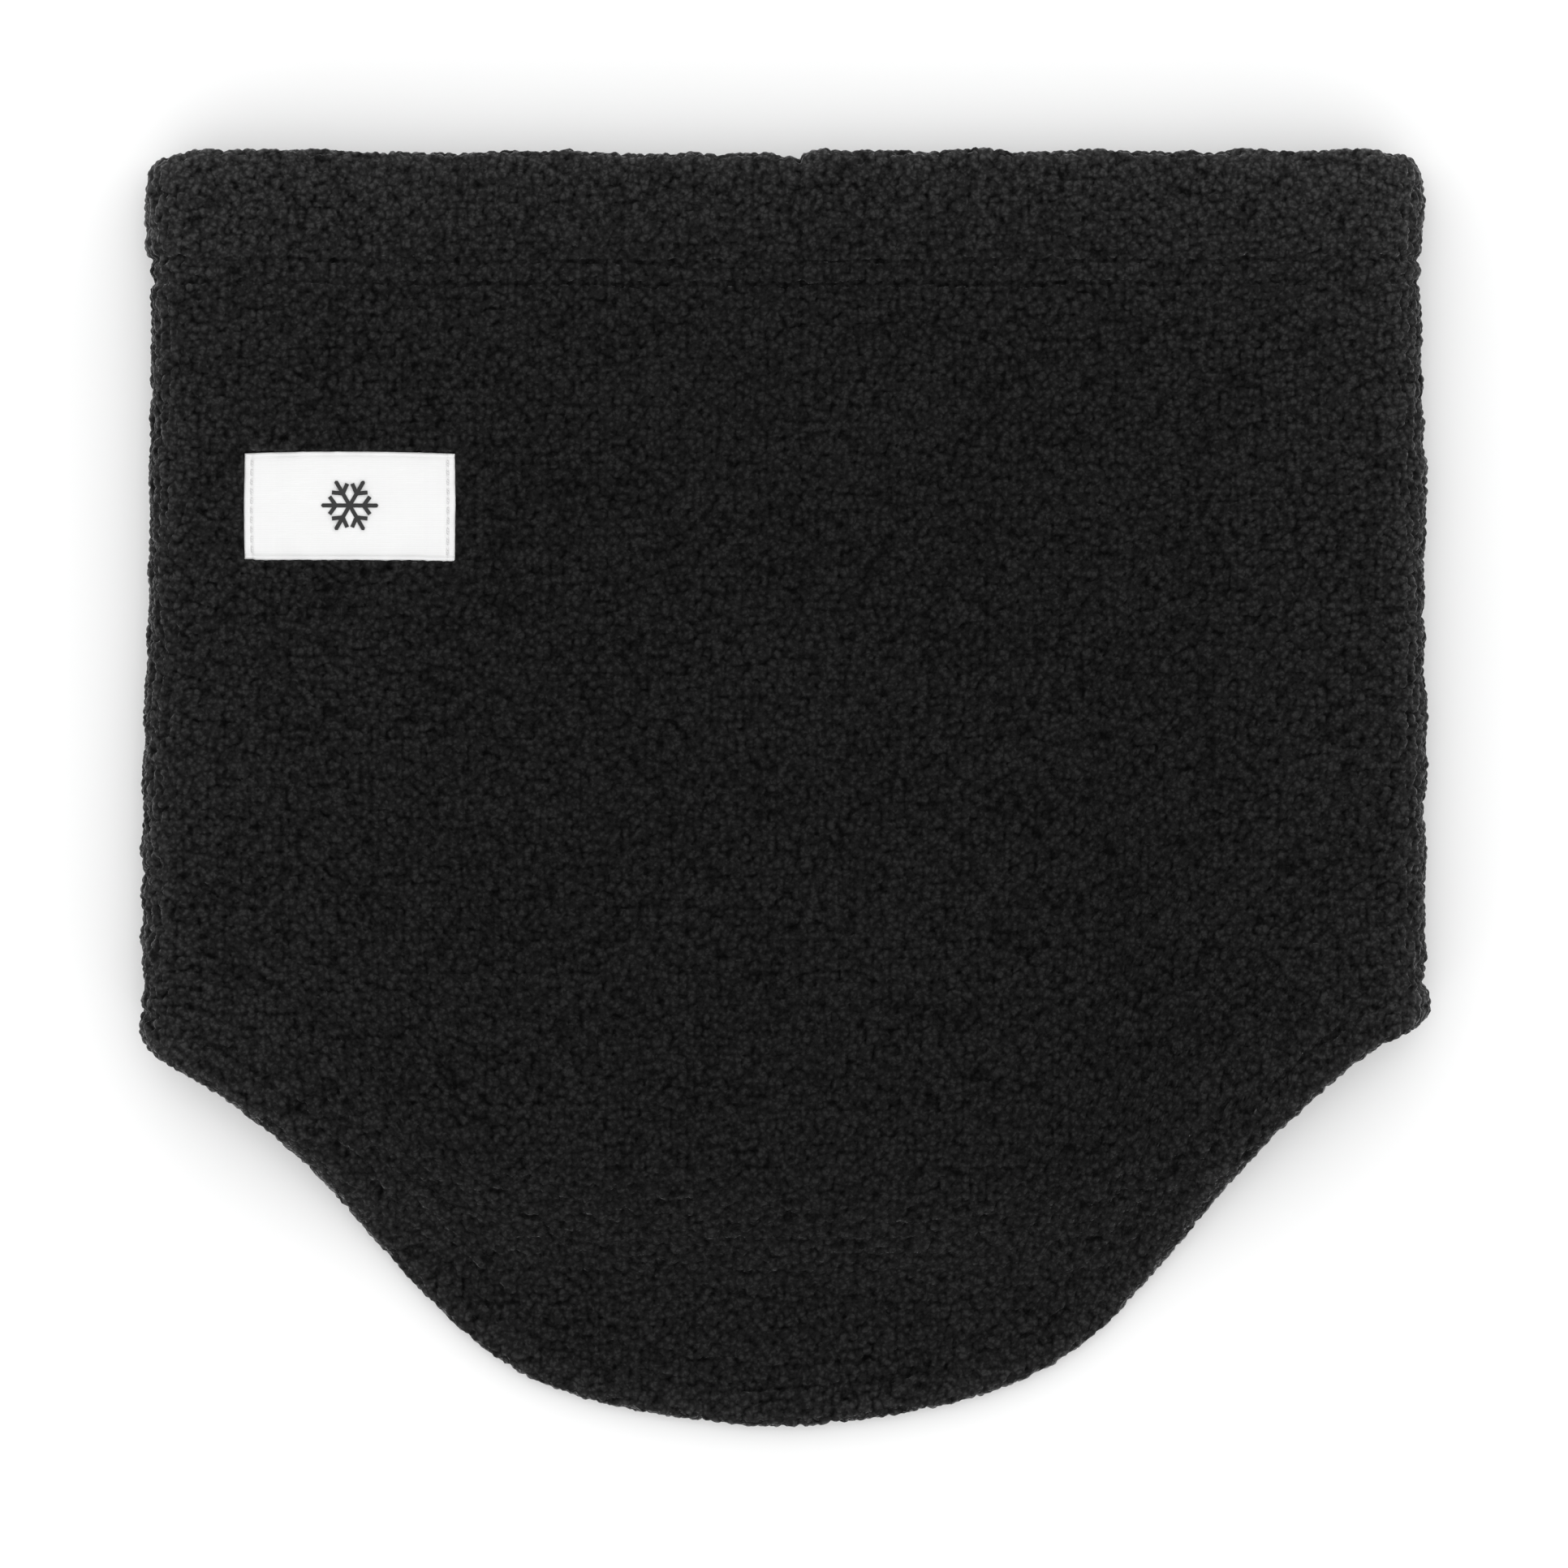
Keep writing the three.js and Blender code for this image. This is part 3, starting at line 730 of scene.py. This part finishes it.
def label_outline(u, v):
    """Plan position of a place on the label, -1 to 1 each way. The top edge bows up, and two corners are uneven."""
    x = LABEL_CENTRE[0] + u * LABEL_HALF[0] + 0.15 * u * (1 - v * v)
    top = LABEL_HALF[1] - 0.35 + 0.5 * (1 - u * u)
    corners = 0.2 * smoothstep(u, 0.68, 0.75) - 0.25 * smoothstep(-u, 0.88, 0.93)
    bottom = LABEL_HALF[1] + 0.38 + 0.05 * u + corners
    y = LABEL_CENTRE[1] + v * np.where(v > 0, top, bottom)
    return x, y


STITCH_INSET = 1.6  # from a short end of the label


def label_lift(u, v):
    """Height of the label's top face over its bed: thicker where the ends fold under, dented at the stitches."""
    from_end = LABEL_HALF[0] * (1 - np.abs(u))
    from_side = LABEL_HALF[1] * (1 - np.abs(v))
    edge = np.minimum(from_end, from_side)
    fold = 1 - smoothstep(from_end, LABEL_FOLD - 1.0, LABEL_FOLD + 1.0)
    rounded = LABEL_THICKNESS * np.sqrt(np.clip(1 - (1 - np.clip(edge / 0.45, 0, 1)) ** 2, 0, 1))
    hem = 0.14 * np.exp(-((from_side - 0.9) / 0.3) ** 2)
    stitched = 0.2 * np.exp(-((from_end - STITCH_INSET) / 0.35) ** 2)
    return rounded + 0.15 * fold - hem - stitched + 0.12 * flat_noise(u * 6, v * 3, 1.0, 95)


def woven_label():
    u_steps, v_steps = 150, 80
    ease = lambda steps: np.sin(np.linspace(-math.pi / 2, math.pi / 2, steps + 1) * 0.92) / math.sin(math.pi * 0.46)
    u, v = np.meshgrid(ease(u_steps), ease(v_steps), indexing="xy")
    x, y = label_outline(u, v)
    top = on_front(x, y, label_lift(u, v))
    bottom = on_front(x, y, 0 * u)
    count = (u_steps + 1) * (v_steps + 1)
    vertices = np.concatenate([top.reshape(-1, 3), bottom.reshape(-1, 3)])
    columns = u_steps + 1
    faces = []
    for j in range(v_steps):
        for i in range(u_steps):
            a = j * columns + i
            quad = [a, a + 1, a + columns + 1, a + columns]
            faces.append(quad)
            faces.append([count + k for k in reversed(quad)])
    rim = [i for i in range(columns)]
    rim += [j * columns + u_steps for j in range(1, v_steps + 1)]
    rim += [v_steps * columns + i for i in reversed(range(u_steps))]
    rim += [j * columns for j in reversed(range(1, v_steps))]
    for a, b in zip(rim, rim[1:] + rim[:1]):
        faces.append([a, count + a, count + b, b])
    piece = mesh_object("woven_label_cloth", vertices, faces)
    return dress(piece, LABEL_WEAVE, "label_weave", "woven_label")


def label_stitches(node, side):
    """A row of stitches across one folded end of the label."""
    parts = []
    u = side * (1 - STITCH_INSET / LABEL_HALF[0])
    ends = np.linspace(-0.9, 0.9, 11)
    for low, high in zip(ends[:-1], ends[1:]):
        v = low + (high - low) * np.array([0.08, 0.2, 0.5, 0.8, 0.92])
        x, y = label_outline(np.full(5, u), v)
        lift = label_lift(np.full(5, u), v) + np.array([-0.15, 0.05, 0.12, 0.05, -0.15])
        parts.append(tube(on_front(x, y, lift), 0.16, 6))
    piece = joined(node + "_thread", parts)
    return dress(piece, WHITE_THREAD, "white_thread", node)


def snowflake():
    """The woven motif: one flat outline of six arms, each with a pair of twigs."""
    radius = (box_mm("label_motif")[1][0] - box_mm("label_motif")[0][0]) / 2
    half = 0.42  # half the width of an arm and of a twig
    twig = 0.38 * radius  # length of a twig
    root = 0.48 * radius  # where it leaves the arm
    lean = math.radians(54)
    c, s = math.cos(lean), math.sin(lean)
    arm = [
        (half / math.tan(math.pi / 6), half),
        (root - half * s + half * (1 - c) * c / s, half),
        (root + twig * c - half * s, twig * s + half * c),
        (root + twig * c + half * s, twig * s - half * c),
        (root + half * s + half * (1 + c) * c / s, half),
        (radius - 0.3, half),
        (radius, 0.0),
    ]
    arm += [(x, -y) for x, y in reversed(arm[:-1])][:-1]
    outline = []
    for k in range(6):
        angle = -k * math.pi / 3
        c, s = math.cos(angle), math.sin(angle)
        outline += [(c * x - s * y, s * x + c * y) for x, y in arm]
    flat = np.array(outline)
    x, y = LABEL_CENTRE[0] + flat[:, 0], LABEL_CENTRE[1] + flat[:, 1]
    u, v = flat[:, 0] / LABEL_HALF[0], flat[:, 1] / LABEL_HALF[1]
    level = label_lift(u, v).max() + 0.1
    top, bottom = on_front(x, y, level), on_front(x, y, level - 0.3)
    count = len(flat)
    faces = [list(reversed(range(count))), [count + k for k in range(count)]]
    for k in range(count):
        m = (k + 1) % count
        faces.append([k, m, count + m, count + k])
    piece = mesh_object("label_snowflake", np.concatenate([top, bottom]), faces, smooth=False)
    return dress(piece, MOTIF_THREAD, "motif_thread", "label_motif")


# ------------------------------------------------------------ stage, light and camera

def floor():
    steps = 60
    radius = 9000.0
    angles = np.linspace(0, 2 * math.pi, steps, endpoint=False)
    rim = np.stack([radius * np.cos(angles), radius * np.sin(angles), np.zeros(steps)], axis=-1)
    piece = mesh_object("floor", rim, [list(range(steps))], smooth=False)
    piece.data.materials.append(floor_material())


# (sine of the height angle, strength) of the tent
TENT_LIGHT = [(0.0, 1.6), (0.10, 2.5), (0.42, 2.5), (0.52, 0.86)]


def area_light(name, place, size, power):
    """A soft rectangular light that points at the origin, with its long side level."""
    light = bpy.data.lights.new(name, "AREA")
    light.shape = "RECTANGLE"
    light.size, light.size_y = size
    light.energy = power
    lamp = bpy.data.objects.new(name, light)
    lamp.location = place
    lamp.rotation_euler = (-Vector(place)).to_track_quat("-Z", "Y").to_euler()
    lamp.visible_camera = False
    bpy.context.scene.collection.objects.link(lamp)


def tent_light():
    """Light from all round, strongest from low at the sides, as inside a light tent."""
    world = bpy.data.worlds.new("studio")
    world.use_nodes = True
    tree = world.node_tree
    direction = tree.nodes.new("ShaderNodeTexCoord").outputs["Generated"]
    split = tree.nodes.new("ShaderNodeSeparateXYZ")
    tree.links.new(direction, split.inputs["Vector"])
    ramp = tree.nodes.new("ShaderNodeValToRGB")
    ramp.color_ramp.interpolation = "EASE"
    tree.links.new(split.outputs["Z"], ramp.inputs["Fac"])
    stops = ramp.color_ramp.elements
    while len(stops) < len(TENT_LIGHT):
        stops.new(0.5)
    for stop, (height, level) in zip(stops, TENT_LIGHT):
        stop.position = height
        stop.color = (level, level, level, 1)
    tree.links.new(ramp.outputs["Color"], tree.nodes["Background"].inputs["Color"])
    bpy.context.scene.world = world


def lights():
    """A light tent with one soft lamp above it."""
    area_light("soft_overhead", (0.0, 0.4, 2.6), (1.6, 1.6), 6.0)
    tent_light()
    bpy.context.scene.view_settings.view_transform = "Standard"


FRAME_WIDTH = 0.3298  # width of the view at the height of the side folds
LENS = 200.0
SENSOR = 36.0


def camera():
    data = bpy.data.cameras.new("camera")
    data.lens = LENS
    data.sensor_width = SENSOR
    eye = bpy.data.objects.new("camera", data)
    distance = FRAME_WIDTH * LENS / SENSOR
    eye.location = (0.0, 0.0005, ROLL * MM + distance)
    data.clip_start, data.clip_end = 0.1, 100.0
    bpy.context.scene.collection.objects.link(eye)
    bpy.context.scene.camera = eye


# ------------------------------------------------------------ build

camera()
floor()
lights()
cloth = fleece_cloth()
seam = seam_allowance()
overlock = overlock_thread()
threads = [
    needle_row("top_hem_stitches_upper", "top_hem_needle_thread_upper", "top", TOP_ROWS[0]),
    needle_row("top_hem_stitches_lower", "top_hem_needle_thread_lower", "top", TOP_ROWS[1]),
    looper_row("top_hem_zigzag", "top_hem_looper_thread", "top", TOP_ROWS),
    needle_row("bottom_hem_stitches_outer", "bottom_hem_needle_thread_outer", "bottom", BOTTOM_ROWS[0]),
    needle_row("bottom_hem_stitches_inner", "bottom_hem_needle_thread_inner", "bottom", BOTTOM_ROWS[1]),
    looper_row("bottom_hem_zigzag", "bottom_hem_looper_thread", "bottom", BOTTOM_ROWS),
]
label = woven_label()
label_pieces = [
    label_stitches("label_stitch_left", -1),
    label_stitches("label_stitch_right", 1),
    snowflake(),
]
